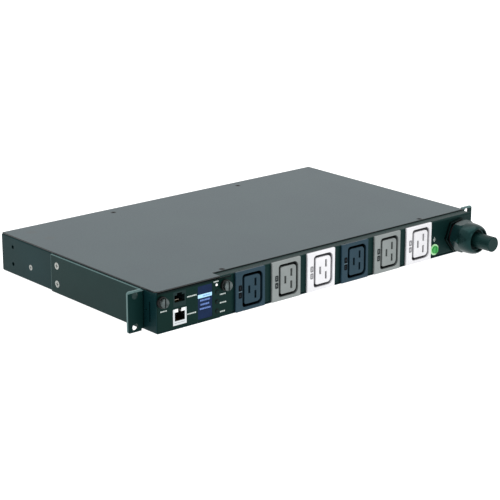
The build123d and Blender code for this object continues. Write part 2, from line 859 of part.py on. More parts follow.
def display_window():
    side, rise = display_width / 2 - fit, display_height / 2 - fit
    return block(display_x - side, display_x + side, wall_y - window_sheet, wall_y, display_z - rise,
                 display_z + rise)


def display_board():
    """The upright board that carries the display, the status light and the switches."""
    x0 = display_x - display_width / 2 - display_border - module_board_gap
    z0 = sheet + carrier_sheet + display_board_gap
    return block(x0, carrier_right_x - carrier_sheet - display_board_gap, board_back_y, board_back_y + board,
                 z0, lamp_z + switch_size)


def status_light():
    """A light pipe from the display's board to just proud of the faceplate."""
    pipe = rod(lamp_x, lamp_z, lamp_r, face_y - lamp_proud, board_back_y)
    return chamfer(pipe.edges().group_by(Axis.Y)[0], lamp_proud)


def plunger_y():
    return board_back_y - switch_height - switch_plunger


def button(z):
    """A push button whose flange keeps it behind the faceplate, with a stem to its switch."""
    cap = rod(button_x, z, button_r, face_y - button_proud, wall_y + fit)
    cap = chamfer(cap.edges().group_by(Axis.Y)[0], button_edge)
    cap += rod(button_x, z, button_flange_r, wall_y + fit / 2, wall_y + fit / 2 + button_flange)
    return cap + rod(button_x, z, button_stem_r, wall_y + button_flange,
                     plunger_y() - button_travel - button_reserve)


def tact_switches():
    switches = []
    for z in button_z:
        body = block(button_x - switch_size / 2, button_x + switch_size / 2, board_back_y - switch_height,
                     board_back_y,
                     z - switch_size / 2, z + switch_size / 2)
        switches.append(body + rod(button_x, z, switch_plunger_r, plunger_y(), board_back_y - switch_height))
    return switches


# Thumbscrews

def thumbscrew(place):
    """A knurled and slotted head on a shank that turns in its ferrule."""
    x, z = place
    head_back = face_y - ferrule_height - thumb_gap
    head_front = head_back - thumb_head
    outline = Circle(thumb_head_r)
    for i in range(thumb_knurls):
        groove = Pos(thumb_head_r, 0) * Rot(0, 0, 45) * Rectangle(2 * thumb_knurl, 2 * thumb_knurl)
        outline -= Rot(0, 0, i * 360 / thumb_knurls) * groove
    screw = upright(Pos(x, z) * outline, head_front + thumb_crown, head_back)
    screw += rod(x, z, thumb_head_r - thumb_crown, head_front, head_front + thumb_crown)
    screw -= block(x - thumb_slot / 2, x + thumb_slot / 2, head_front - over, head_front + thumb_slot_depth,
                   z - thumb_head_r - over, z + thumb_head_r + over)
    screw += rod(x, z, thumb_shank_r, head_back, wall_y - fit)
    return screw + rod(x, z, thumb_thread_r, wall_y - fit, wall_in + thumb_reach)


def thumbscrew_ferrules():
    ferrules = []
    for x, z in thumb_places:
        body = rod(x, z, ferrule_r, face_y - ferrule_height, face_y)
        body = chamfer(body.edges().group_by(Axis.Y)[0], ferrule_edge)
        body += rod(x, z, ferrule_neck_r, face_y, wall_y)
        ferrules.append(body - rod(x, z, thumb_shank_r + thumb_clear, face_y - ferrule_height - over,
                                   wall_y + over))
    return ferrules


# Earth screw, gland and cord

def earth_screw():
    head_front = wall_y - earth_washer - earth_head
    head = rod(earth_x, earth_z, earth_head_r, head_front, wall_y - earth_washer)
    head = chamfer(head.edges().group_by(Axis.Y)[0], earth_head_edge)
    head -= block(earth_x - earth_slot / 2, earth_x + earth_slot / 2, head_front - over,
                  head_front + earth_slot,
                  earth_z - earth_head_r - over, earth_z + earth_head_r + over)
    return head + rod(earth_x, earth_z, earth_shank_r, wall_y - earth_washer, wall_in + earth_reach)


def earth_washer_ring():
    ring = rod(earth_x, earth_z, earth_washer_r, wall_y - earth_washer, wall_y)
    return ring - rod(earth_x, earth_z, earth_shank_r + earth_washer_clear, wall_y - earth_washer - over,
                      wall_y + over)


def gland_rod(radius, y0, y1):
    """A round bar on the gland's axis."""
    return rod(gland_x, gland_z, radius, y0, y1)


def gland_hexagon(corner_r):
    return Pos(gland_x, gland_z) * RegularPolygon(corner_r, 6, rotation=gland_turn)


def gland_body():
    """Hexagon flange on the panel, threaded barrel through it and threaded neck in front."""
    flange_front = wall_y - gland_flange
    body = upright(gland_hexagon(gland_hex_r), flange_front, wall_y)
    body = chamfer(body.edges().group_by(Axis.Y)[0], gland_edge)
    body += gland_rod(gland_barrel_r, wall_y, wall_y + gland_barrel)
    body += gland_rod(gland_neck_r, neck_end, flange_front)
    return body - gland_rod(gland_bore_r, neck_end - over, wall_y + gland_barrel + over)


def gland_locknut():
    nut = upright(gland_hexagon(locknut_hex_r), wall_in, wall_in + locknut)
    return nut - gland_rod(gland_barrel_r + thread_clear, wall_in - over, wall_in + locknut + over)


def gland_dome_nut():
    """A hexagon that runs out into a rounded nose with an open mouth."""
    end_y = dome_y - dome_length
    run_out = dome_y - dome_straight
    corner_r = gland_hex_r + fit
    outline = Polyline((0, dome_y), (corner_r - gland_edge, dome_y), (corner_r, dome_y - gland_edge),
                       (corner_r, run_out))
    middle = ((corner_r + dome_nose_r) / 2 + dome_bulge, (run_out + end_y) / 2 - dome_bulge_back)
    nose = ThreePointArc((corner_r, run_out), middle, (dome_nose_r, end_y))
    profile = make_face(Curve() + [outline, nose, Polyline((dome_nose_r, end_y), (0, end_y), (0, dome_y))])
    turned = Pos(gland_x, 0, gland_z) * revolve(profile, Axis.Y)
    nut = upright(gland_hexagon(gland_hex_r), end_y, dome_y) & turned
    nut -= gland_rod(gland_neck_r + dome_thread_clear, neck_end - seal_length, dome_y + over)
    return nut - gland_rod(dome_mouth_r, end_y - over, neck_end)


def gland_seal():
    ring = gland_rod(gland_neck_r, neck_end - seal_length + fit, neck_end - fit)
    return ring - gland_rod(cord_r + thread_clear, neck_end - seal_length - over, neck_end + over)


def input_cord():
    """The jacketed cord as far as the cut end in front, and stripped just behind the panel."""
    cord = gland_rod(cord_r, face_y - cord_out, wall_y + cord_in)
    return chamfer(cord.edges().group_by(Axis.Y)[0], cord_edge)


# Wiring

def cord_cores():
    """Insulated cores from the end of the cord's jacket to the terminal block."""
    start_y = wall_y + cord_in
    cores = []
    for i, pole in enumerate(poles):
        spread = Vector(core_ring_r, 0).rotate(Axis.Z, core_first_angle - 360 / pole_count * i)
        x, z = gland_x + spread.X, gland_z + spread.Y
        cores.append(wire([(x, start_y, z), (x, start_y + core_run, z), (pole, block_y - core_run, pole_z),
                           (pole, block_y + pole_hole - over, pole_z)]))
    return cores


def clamp_rows():
    return block_y + clamp_inset, block_y + block_depth - clamp_inset


def terminal_block():
    """A moulded block with a mouth at the front and back of each pole and a well for each clamp screw."""
    x0 = poles[0] - pole_pitch / 2 - block_end
    top = sheet + block_height
    body = block(x0, block_right_x, block_y, block_y + block_depth, sheet, top)
    for pole in poles:
        side = pole_mouth / 2
        for y in (block_y - over, block_y + block_depth - pole_hole):
            body -= block(pole - side, pole + side, y, y + pole_hole + over, pole_z - side, pole_z + side)
        for y in clamp_rows():
            body -= block(pole - clamp_well / 2, pole + clamp_well / 2, y - clamp_well / 2,
                          y + clamp_well / 2,
                          top - clamp_height, top + over)
    return body


def terminal_screws():
    screws = []
    foot = sheet + block_height - clamp_height
    for pole in poles:
        for y in clamp_rows():
            head = hex_post(pole, y, clamp_r, foot, foot + clamp_height)
            head -= block(pole - clamp_r, pole + clamp_r, y - clamp_slot / 2, y + clamp_slot / 2,
                          foot + clamp_height / 2, foot + clamp_height + over)
            screws.append(head)
    return screws


def bar_leads():
    """Leads from the terminal block to the bars, the three phase leads through their transformers."""
    leads = []
    start = block_y + block_depth - pole_hole + over
    for i, (pole, end_x) in enumerate(zip(poles, lead_ends())):
        turn_y = lead_turn_y + lead_turn_step * i
        end_y = bar_y + bar_sheet + (bar_step * (1 + i) if i < phase_count else 0)
        end_z = core_z if i == pole_count - 1 else pole_z
        leads.append(wire([(pole, start, pole_z), (pole, turn_y, pole_z), (end_x, turn_y, end_z),
                           (end_x, end_y, end_z)]))
    return leads


def current_transformers():
    """Potted rings on flat feet, one on each phase lead."""
    rings = []
    for i, pole in enumerate(poles[:phase_count]):
        y = meter_board_y + board_inset + transformer_pitch * i
        ring = rod(pole, pole_z, transformer_r, y, y + transformer_length)
        ring += block(pole - transformer_r, pole + transformer_r, y, y + transformer_length, board_top,
                      pole_z)
        rings.append(ring - rod(pole, pole_z, transformer_bore_r, y - over, y + transformer_length + over))
    return rings


# Boards

def board_corners(xs, ys):
    return [(x, y) for x in (xs[0] + board_inset, xs[1] - board_inset)
            for y in (ys[0] + board_inset, ys[1] - board_inset)]


def flat_board(xs, ys):
    plate = block(*xs, *ys, board_foot_z, board_top)
    for x, y in board_corners(xs, ys):
        plate -= post(x, y, board_screw_r + thread_clear, board_foot_z - over, board_top + over)
    return plate


def board_feet():
    return board_corners(meter_board_x, meter_board_ys) + board_corners(supply_board_x, supply_board_ys)


def board_standoffs():
    """Tapped standoffs under the boards, and tall ones under the control module's board."""
    posts = [hex_post(x, y, standoff_r, sheet, board_foot_z) for x, y in board_feet()]
    for x in (carrier_left_x + module_post_insets[0], bay_right_x - module_post_insets[1]):
        for row in module_post_rows:
            posts.append(hex_post(x, wall_in + row, standoff_r, sheet + carrier_sheet, module_board_z))
    return posts


def board_screws():
    """Hexagon heads and shanks that hold the boards to their standoffs."""
    screws = []
    for x, y in board_feet():
        head = hex_post(x, y, board_head_r, board_top, board_top + board_head)
        screws.append(head + hex_post(x, y, board_screw_r, board_foot_z, board_top))
    return screws


def component(size, place, base_z):
    """A part that stands on a board, its near left corner at the place."""
    (width, depth, height), (x, y) = size, place
    return block(x, x + width, y, y + depth, base_z, base_z + height)


def board_components():
    """Transformer, relay and capacitors of the supply, the metering plug, processor and memory."""
    x0, y0 = supply_board_x[0], supply_board_y
    parts = [component(size, (x0 + x, y0 + y), board_top)
             for size, (x, y) in ((supply_transformer, supply_transformer_place), (relay, relay_place))]
    x, y = x0 + capacitor_place[0], y0 + capacitor_place[1]
    parts += [post(x, y + capacitor_pitch * i, capacitor_r, board_top, board_top + capacitor_height)
              for i in range(capacitor_count)]
    plug_y = meter_board_ys[1] - meter_plug_edge - meter_plug[1]
    parts.append(component(meter_plug, (meter_board_x[0] + meter_plug_inset, plug_y), board_top))
    parts += [component(size, (jack_x + x, wall_in + y), module_board_top)
              for size, (x, y) in ((processor, processor_place), (memory, memory_place))]
    return parts


def module_plug():
    """The control module's plug at the rear of its board."""
    width, depth, height = plug_size
    z = module_board_z + board / 2
    return block(bay_mid_x - width / 2, bay_mid_x + width / 2, module_board_end, module_board_end + depth,
                 z - height / 2, z + height / 2)


def bay_socket():
    """The socket on the bay's rear wall that the control module plugs into."""
    width, depth, height = plug_size
    plug_end = module_board_end + depth
    z = module_board_z + board / 2
    side, rise = width / 2 + socket_wall[0], height / 2 + socket_wall[1]
    body = block(bay_mid_x - side, bay_mid_x + side, plug_end - socket_lap, wall_in + bay_depth, z - rise,
                 z + rise)
    side, rise = width / 2 + fit, height / 2 + fit
    return body - block(bay_mid_x - side, bay_mid_x + side, plug_end - socket_lap - over, plug_end + fit,
                        z - rise, z + rise)


def signal_cable():
    """A ribbon on edge from the bay's rear wall to the metering board."""
    rear = wall_in + bay_depth + sheet
    x1 = meter_board_x[0] + meter_plug_inset + meter_plug[0] / 2
    path = FilletPolyline((bay_mid_x, rear), (bay_mid_x, rear + ribbon_run), (x1, rear + ribbon_run),
                          (x1, meter_board_ys[1] - meter_plug_edge), radius=ribbon_bend)
    return flat(trace(path, ribbon_thickness), board_top, board_top + ribbon_width)


colours = ("blue", "grey", "white")
nodes = {
    "base_chassis": base_chassis(),
    "front_panel": front_panel(),
    "top_cover": top_cover(),
    "bay_wall": bay_wall(),
    "rack_bracket_left": rack_bracket(-1),
    "rack_bracket_right": rack_bracket(1),
    "bracket_screws": bracket_screws(),
    "cover_screws": cover_screws(),
    "side_screw": side_screw(),
    "outlet_contacts": outlet_contacts(),
    "return_bars": return_bars(),
    "phase_bars": phase_bars(),
    "control_faceplate": control_faceplate(),
    "module_carrier": module_carrier(),
    "module_board": module_board(),
    "sensor_jack": sensor_jack(),
    "network_jack": network_jack(),
    "network_jack_insert": network_jack_insert(),
    "jack_lights": jack_lights(),
    "jack_contacts": jack_contacts(),
    "display_module": display_module(),
    "display_window": display_window(),
    "display_board": display_board(),
    "status_light": status_light(),
    "tact_switches": tact_switches(),
    "thumbscrew_left": thumbscrew(thumb_places[0]),
    "thumbscrew_right": thumbscrew(thumb_places[1]),
    "thumbscrew_ferrules": thumbscrew_ferrules(),
    "earth_screw": earth_screw(),
    "earth_washer": earth_washer_ring(),
    "gland_body": gland_body(),
    "gland_locknut": gland_locknut(),
    "gland_dome_nut": gland_dome_nut(),
    "gland_seal": gland_seal(),
    "input_cord": input_cord(),
    "cord_cores": cord_cores(),
    "terminal_block": terminal_block(),
    "terminal_screws": terminal_screws(),
    "bar_leads": bar_leads(),
    "current_transformers": current_transformers(),
    "metering_board": flat_board(meter_board_x, meter_board_ys),
    "supply_board": flat_board(supply_board_x, supply_board_ys),
    "board_standoffs": board_standoffs(),
    "board_screws": board_screws(),
    "board_components": board_components(),
    "module_plug": module_plug(),
    "bay_socket": bay_socket(),
    "signal_cable": signal_cable(),
}
for name, z in zip(("scroll_button", "select_button", "menu_button"), button_z):
    nodes[name] = button(z)
for number, x in enumerate(outlet_centres, start=1):
    nodes[f"outlet_{number}"] = outlet_shell(x)
for i, colour in enumerate(colours):
    nodes[f"{colour}_cores"] = [outlet_core(x) for x in outlet_centres[i::len(colours)]]

os.makedirs("parts", exist_ok=True)
for name, shape in nodes.items():
    solids = [piece.solid() for piece in shape] if isinstance(shape, list) else shape.solids()
    export_step(solids[0] if len(solids) == 1 else Compound(children=solids), f"parts/{name}.step")
print(len(nodes), "nodes written")
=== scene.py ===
import math
import bpy
import bmesh
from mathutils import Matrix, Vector


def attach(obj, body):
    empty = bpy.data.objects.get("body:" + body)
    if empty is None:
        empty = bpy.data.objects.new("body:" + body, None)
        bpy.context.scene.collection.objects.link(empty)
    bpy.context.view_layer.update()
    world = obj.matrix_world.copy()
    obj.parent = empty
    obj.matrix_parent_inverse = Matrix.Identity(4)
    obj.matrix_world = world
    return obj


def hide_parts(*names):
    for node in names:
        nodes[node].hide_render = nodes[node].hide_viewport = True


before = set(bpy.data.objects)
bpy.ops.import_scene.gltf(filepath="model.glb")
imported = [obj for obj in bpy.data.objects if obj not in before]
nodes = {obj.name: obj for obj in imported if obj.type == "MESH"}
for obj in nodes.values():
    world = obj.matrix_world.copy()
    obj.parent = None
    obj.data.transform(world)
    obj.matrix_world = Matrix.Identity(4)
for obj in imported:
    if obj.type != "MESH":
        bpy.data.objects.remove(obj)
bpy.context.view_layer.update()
millimetre = 0.001
print("frame loaded:", len(nodes), "nodes")

# Camera and studio

cameraSetup = {
    "place": (-1.1450, -1.2409, 0.5494),
    "azimuth": -40.479,
    "elevation": 16.898,
    "lens": 121.85,       # a long lens, so the case hardly narrows towards the back
    "sensor": 36.0,
    "clip": (0.01, 50.0),
}
studio = {
    "floorSize": 12.0,
    "floorDrop": 0.0002,
    "worldColor": "#ffffff",
    "worldStrength": 1.0,
    "lights": [
        {"name": "topSoftbox", "place": (0.1, 0.3, 1.6), "aim": (0.0, 0.1, 0.0), "size": (1.8, 1.4),
         "watts": 12.0},
        {"name": "frontSoftbox", "place": (-0.9, -1.7, 1.3), "aim": (0.0, 0.0, 0.02), "size": (1.0, 0.7),
         "watts": 5.0},
    ],
}


def linear(hexColor):
    channels = [int(hexColor[i:i + 2], 16) / 255 for i in (1, 3, 5)]
    return tuple(c / 12.92 if c <= 0.04045 else ((c + 0.055) / 1.055) ** 2.4 for c in channels) + (1.0,)


def addCamera():
    a = math.radians(cameraSetup["azimuth"])
    e = math.radians(cameraSetup["elevation"])
    back = Vector((math.sin(a) * math.cos(e), -math.cos(a) * math.cos(e), math.sin(e)))
    bpy.ops.object.camera_add(location=cameraSetup["place"])
    camera = bpy.context.object
    camera.name = "photoCamera"
    camera.rotation_mode = "QUATERNION"
    camera.rotation_quaternion = back.to_track_quat("Z", "Y")
    camera.data.lens = cameraSetup["lens"]
    camera.data.sensor_width = cameraSetup["sensor"]
    camera.data.clip_start, camera.data.clip_end = cameraSetup["clip"]
    bpy.context.scene.camera = camera


def addStudio():
    world = bpy.data.worlds.new("paleStudio")
    world.use_nodes = True
    background = world.node_tree.nodes["Background"]
    background.inputs["Color"].default_value = linear(studio["worldColor"])
    background.inputs["Strength"].default_value = studio["worldStrength"]
    bpy.context.scene.world = world
    bpy.context.scene.view_settings.view_transform = "Standard"
    for lamp in studio["lights"]:
        bpy.ops.object.light_add(type="AREA", location=lamp["place"])
        light = bpy.context.object
        light.name = lamp["name"]
        light.data.shape = "RECTANGLE"
        light.data.size, light.data.size_y = lamp["size"]
        light.data.energy = lamp["watts"]
        towards = Vector(lamp["aim"]) - Vector(lamp["place"])
        light.rotation_mode = "QUATERNION"
        light.rotation_quaternion = towards.to_track_quat("-Z", "Y")
    bpy.ops.mesh.primitive_plane_add(size=studio["floorSize"], location=(0, 0, -studio["floorDrop"]))
    floor = bpy.context.object
    floor.name = "studioFloor"
    return floor


# Material helpers

# adds a node, sets its properties and inputs by name, and links inputs to other nodes' outputs
def addNode(tree, kind, settings, links=()):
    node = tree.nodes.new(kind)
    for name, value in settings.items():
        if name in node.inputs:
            node.inputs[name].default_value = value
        else:
            setattr(node, name, value)
    for name, source in links:
        tree.links.new(source, node.inputs[name])
    return node


def startMaterial(name, base, roughness, metallic=0.0, specular=0.5, tint="#ffffff"):
    material = bpy.data.materials.new(name)
    material.use_nodes = True
    tree = material.node_tree
    shader = tree.nodes["Principled BSDF"]
    shader.inputs["Base Color"].default_value = linear(base)
    shader.inputs["Roughness"].default_value = roughness
    shader.inputs["Metallic"].default_value = metallic
    shader.inputs["Specular IOR Level"].default_value = specular
    shader.inputs["Specular Tint"].default_value = linear(tint)
    material.diffuse_color = linear(base)
    return material, tree, shader


# noise whose blotches are that many millimetres apart
def grainPattern(tree, spacing, detail=2.0):
    coordinates = addNode(tree, "ShaderNodeTexCoord", {})
    return addNode(tree, "ShaderNodeTexNoise", {"Scale": 1 / (spacing * millimetre), "Detail": detail},
                   [("Vector", coordinates.outputs["Object"])])


def varyColor(tree, shader, pattern, dark, light):
    ramp = addNode(tree, "ShaderNodeValToRGB", {}, [("Fac", pattern.outputs["Fac"])])
    ramp.color_ramp.elements[0].position = 0.3
    ramp.color_ramp.elements[0].color = linear(dark)
    ramp.color_ramp.elements[1].position = 0.7
    ramp.color_ramp.elements[1].color = linear(light)
    tree.links.new(ramp.outputs["Color"], shader.inputs["Base Color"])


def varyRoughness(tree, shader, pattern, low, high):
    span = addNode(tree, "ShaderNodeMapRange", {"To Min": low, "To Max": high},
                   [("Value", pattern.outputs["Fac"])])
    tree.links.new(span.outputs["Result"], shader.inputs["Roughness"])


def addBump(tree, shader, pattern, height):
    bump = addNode(tree, "ShaderNodeBump", {"Distance": height * millimetre, "Strength": 1.0},
                   [("Height", pattern.outputs["Fac"])])
    tree.links.new(bump.outputs["Normal"], shader.inputs["Normal"])


# rises from nothing at "start" to one at "end" along an axis, in millimetres, and stays level outside them
def placeMask(tree, axis, start, end):
    coordinates = addNode(tree, "ShaderNodeTexCoord", {})
    parts = addNode(tree, "ShaderNodeSeparateXYZ", {}, [("Vector", coordinates.outputs["Object"])])
    low, high = sorted((start, end))
    span = addNode(tree, "ShaderNodeMapRange", {
        "From Min": low * millimetre, "From Max": high * millimetre,
        "To Min": 0.0 if start < end else 1.0, "To Max": 1.0 if start < end else 0.0,
    }, [("Value", parts.outputs[axis])])
    return span.outputs["Result"]


def combineMasks(tree, first, second, operation):
    both = addNode(tree, "ShaderNodeMath", {"operation": operation})
    tree.links.new(first, both.inputs[0])
    tree.links.new(second, both.inputs[1])
    return both.outputs["Value"]


# lays a second colour over the finish where the mask is one
def overlayColor(tree, shader, mask, color):
    under = shader.inputs["Base Color"].links[0].from_socket
    mix = addNode(tree, "ShaderNodeMixRGB", {"Color2": linear(color)}, [("Fac", mask), ("Color1", under)])
    tree.links.new(mix.outputs["Color"], shader.inputs["Base Color"])


# Finishes

# where a finish changes on its piece, from start to end in millimetres
finishPlaces = {
    "lidTop": 43.0,
    # painted shade: the lid's edge is drawn black over the shadow gap under it
    "lidEdgePaintedShade": ("Z", 42.92, 42.8),
    "lidMarks": ((-198.0, 227.6, 5.5), (-195.0, 197.0, 5.5)),      # x, y and radius
    "markBlur": 1.5,
    "markStrength": 0.5,
    # painted highlight along the brackets' top and cut edges
    "bracketTopHighlight": ("Z", 40.2, 40.6),
    "bracketEdgeHighlights": (("Y", 154.2, 154.6), ("X", -240.8, -241.2), ("X", 240.8, 241.2)),
    # painted shade along the plate's top, under the lid
    "plateTopShade": ("Z", 39.0, 39.4),
    # painted shade: the outlets' nylon darkens with depth into the recess
    "recess": ("Y", -20.9, -19.2),
}


# polyester powder coat on folded steel: a fine orange peel that softens every reflection
def powderCoat(name, dark, light, roughness, specular, tint):
    material, tree, shader = startMaterial(name, light, roughness, specular=specular, tint=tint)
    varyColor(tree, shader, grainPattern(tree, 60.0), dark, light)
    peel = grainPattern(tree, 1.6)      # the real peel is 0.5 mm apart, drawn coarser so that it shows
    varyRoughness(tree, shader, peel, roughness - 0.05, roughness + 0.05)
    addBump(tree, shader, peel, 0.012)
    return material


# the lid's coat: painted shade in black along its edge under the bright top, standing for the shadow gap
# below the lid, and two round marks show faintly on its top
def lidCoat(name, dark, light, roughness, specular, tint, paintedEdgeShading, markColor):
    places = finishPlaces
    blur = places["markBlur"]
    material = powderCoat(name, dark, light, roughness, specular, tint)
    tree = material.node_tree
    shader = tree.nodes["Principled BSDF"]
    coordinates = addNode(tree, "ShaderNodeTexCoord", {})
    for x, y, radius in places["lidMarks"]:
        distance = addNode(tree, "ShaderNodeVectorMath", {"operation": "DISTANCE"},
                           [("Vector", coordinates.outputs["Object"])])
        distance.inputs[1].default_value = (x * millimetre, y * millimetre, places["lidTop"] * millimetre)
        spot = addNode(tree, "ShaderNodeMapRange", {
            "From Min": (radius - blur) * millimetre, "From Max": (radius + blur) * millimetre,
            "To Min": places["markStrength"], "To Max": 0.0,
        }, [("Value", distance.outputs["Value"])])
        overlayColor(tree, shader, spot.outputs["Result"], markColor)
    # painted shade in black on the lid's edge
    overlayColor(tree, shader, placeMask(tree, *places["lidEdgePaintedShade"]), paintedEdgeShading)
    return material


# the rack brackets' coat, with a painted highlight in a paler colour along the top and the cut edges of the
# sheet, where they catch the light
def bracketCoat(name, dark, light, roughness, specular, tint, paintedEdgeShading):
    material = powderCoat(name, dark, light, roughness, specular, tint)
    tree = material.node_tree
    shader = tree.nodes["Principled BSDF"]
    # painted highlight: a paler colour on the top and cut edges
    edges = placeMask(tree, *finishPlaces["bracketTopHighlight"])
    for edge in finishPlaces["bracketEdgeHighlights"]:
        edges = combineMasks(tree, edges, placeMask(tree, *edge), "MAXIMUM")
    overlayColor(tree, shader, edges, paintedEdgeShading)
    return material


# satin coat of the control module's plate: smoother than the case, with painted shade in black along its top,
# under the lid's overhang
def screenedPlate(name, dark, light, roughness, specular, tint, topShadeColor):
    material, tree, shader = startMaterial(name, light, roughness, specular=specular, tint=tint)
    varyColor(tree, shader, grainPattern(tree, 25.0), dark, light)
    # painted shade in black along the plate's top
    overlayColor(tree, shader, placeMask(tree, *finishPlaces["plateTopShade"]), topShadeColor)
    addBump(tree, shader, grainPattern(tree, 0.9), 0.004)
    return material


# nickel or zinc plate on turned steel: metallic, with fine tool marks and cloudy patches
def plating(name, dark, light, roughness, streak):
    material, tree, shader = startMaterial(name, light, roughness, metallic=1.0)
    varyColor(tree, shader, grainPattern(tree, 4.0, 3.0), dark, light)
    varyRoughness(tree, shader, grainPattern(tree, streak, 4.0), roughness - 0.08, roughness + 0.12)
    addBump(tree, shader, grainPattern(tree, streak), 0.003)
    return material


waveLength = 0.314      # in metres, the spacing of a ring texture's rings at a scale of one


# the same plate on a head turned in a lathe, whose rings catch the light as two opposite fans
def turnedPlating(name, dark, light, roughness, place, spacing, height):
    material = plating(name, dark, light, roughness, 0.6)
    tree = material.node_tree
    shader = tree.nodes["Principled BSDF"]
    coordinates = addNode(tree, "ShaderNodeTexCoord", {})
    centred = addNode(tree, "ShaderNodeMapping", {
        "Location": (-place[0] * millimetre, 0.0, -place[1] * millimetre),
    }, [("Vector", coordinates.outputs["Object"])])
    rings = addNode(tree, "ShaderNodeTexWave", {
        "wave_type": "RINGS", "rings_direction": "Y", "Scale": waveLength / (spacing * millimetre),
        "Distortion": 0.4,
    }, [("Vector", centred.outputs["Vector"])])
    addBump(tree, shader, rings, height)
    return material


# moulded thermoplastic: even colour, a spark-eroded grain and a soft sheen
def mouldedPlastic(name, dark, light, roughness=0.38, grain=1.2, height=0.008, specular=0.5, tint="#ffffff"):
    material, tree, shader = startMaterial(name, light, roughness, specular=specular, tint=tint)
    varyColor(tree, shader, grainPattern(tree, 18.0), dark, light)
    fine = grainPattern(tree, grain)
    varyRoughness(tree, shader, fine, roughness - 0.04, roughness + 0.06)
    addBump(tree, shader, fine, height)
    return material


# glass-filled nylon of the outlets, drawn darker deeper in its recess: painted shade
def outletNylon(name, dark, light, recessShadeColor, specular, tint="#ffffff"):
    material = mouldedPlastic(name, dark, light, 0.42, 1.4, 0.006, specular, tint)
    tree = material.node_tree
    shader = tree.nodes["Principled BSDF"]
    # painted shade deeper in the recess
    overlayColor(tree, shader, placeMask(tree, *finishPlaces["recess"]), recessShadeColor)
    return material


dragScale = 900.0       # per metre, so the drag marks are 1.1 mm apart, coarser than real ones to show
dragStretch = 0.06      # makes them 17 times as long as wide


# extruded rubber jacket: dull, with faint lengthwise drag marks from its die
def extrudedRubber(name, dark, light, specular, roughness=0.55, tint="#ffffff"):
    material, tree, shader = startMaterial(name, light, roughness, specular=specular, tint=tint)
    coordinates = addNode(tree, "ShaderNodeTexCoord", {})
    stretch = addNode(tree, "ShaderNodeMapping", {"Scale": (1.0, dragStretch, 1.0)},
                      [("Vector", coordinates.outputs["Object"])])
    drag = addNode(tree, "ShaderNodeTexNoise", {"Scale": dragScale, "Detail": 2.0},
                   [("Vector", stretch.outputs["Vector"])])
    varyColor(tree, shader, drag, dark, light)
    addBump(tree, shader, drag, 0.03)
    return material


# screen ink, or a lit field of the display when it has a strength
def screenInk(name, dark, light, strength=0.0, specular=0.3):
    material, tree, shader = startMaterial(name, light, 0.55, specular=specular)
    varyColor(tree, shader, grainPattern(tree, 1.5), dark, light)
    shader.inputs["Emission Color"].default_value = linear(light)
    shader.inputs["Emission Strength"].default_value = strength
    return material


# backlit display under a clear hard-coated sheet: deep blue, glossy, slightly glowing
def displayFilm(name, dark, light, glow):
    material, tree, shader = startMaterial(name, light, 0.2, specular=0.2, tint="#9fb4ff")
    varyColor(tree, shader, grainPattern(tree, 9.0), dark, light)
    shader.inputs["Emission Color"].default_value = linear(light)
    shader.inputs["Emission Strength"].default_value = glow
    return material


# matt sweep of paper, lit through from below, so that the case stands in a white field with hardly a shadow
def studioPaper(name, dark, light, glow):
    material, tree, shader = startMaterial(name, light, 0.9, specular=0.1)
    varyColor(tree, shader, grainPattern(tree, 400.0), dark, light)
    shader.inputs["Emission Color"].default_value = linear(studio["worldColor"])
    shader.inputs["Emission Strength"].default_value = glow
    return material


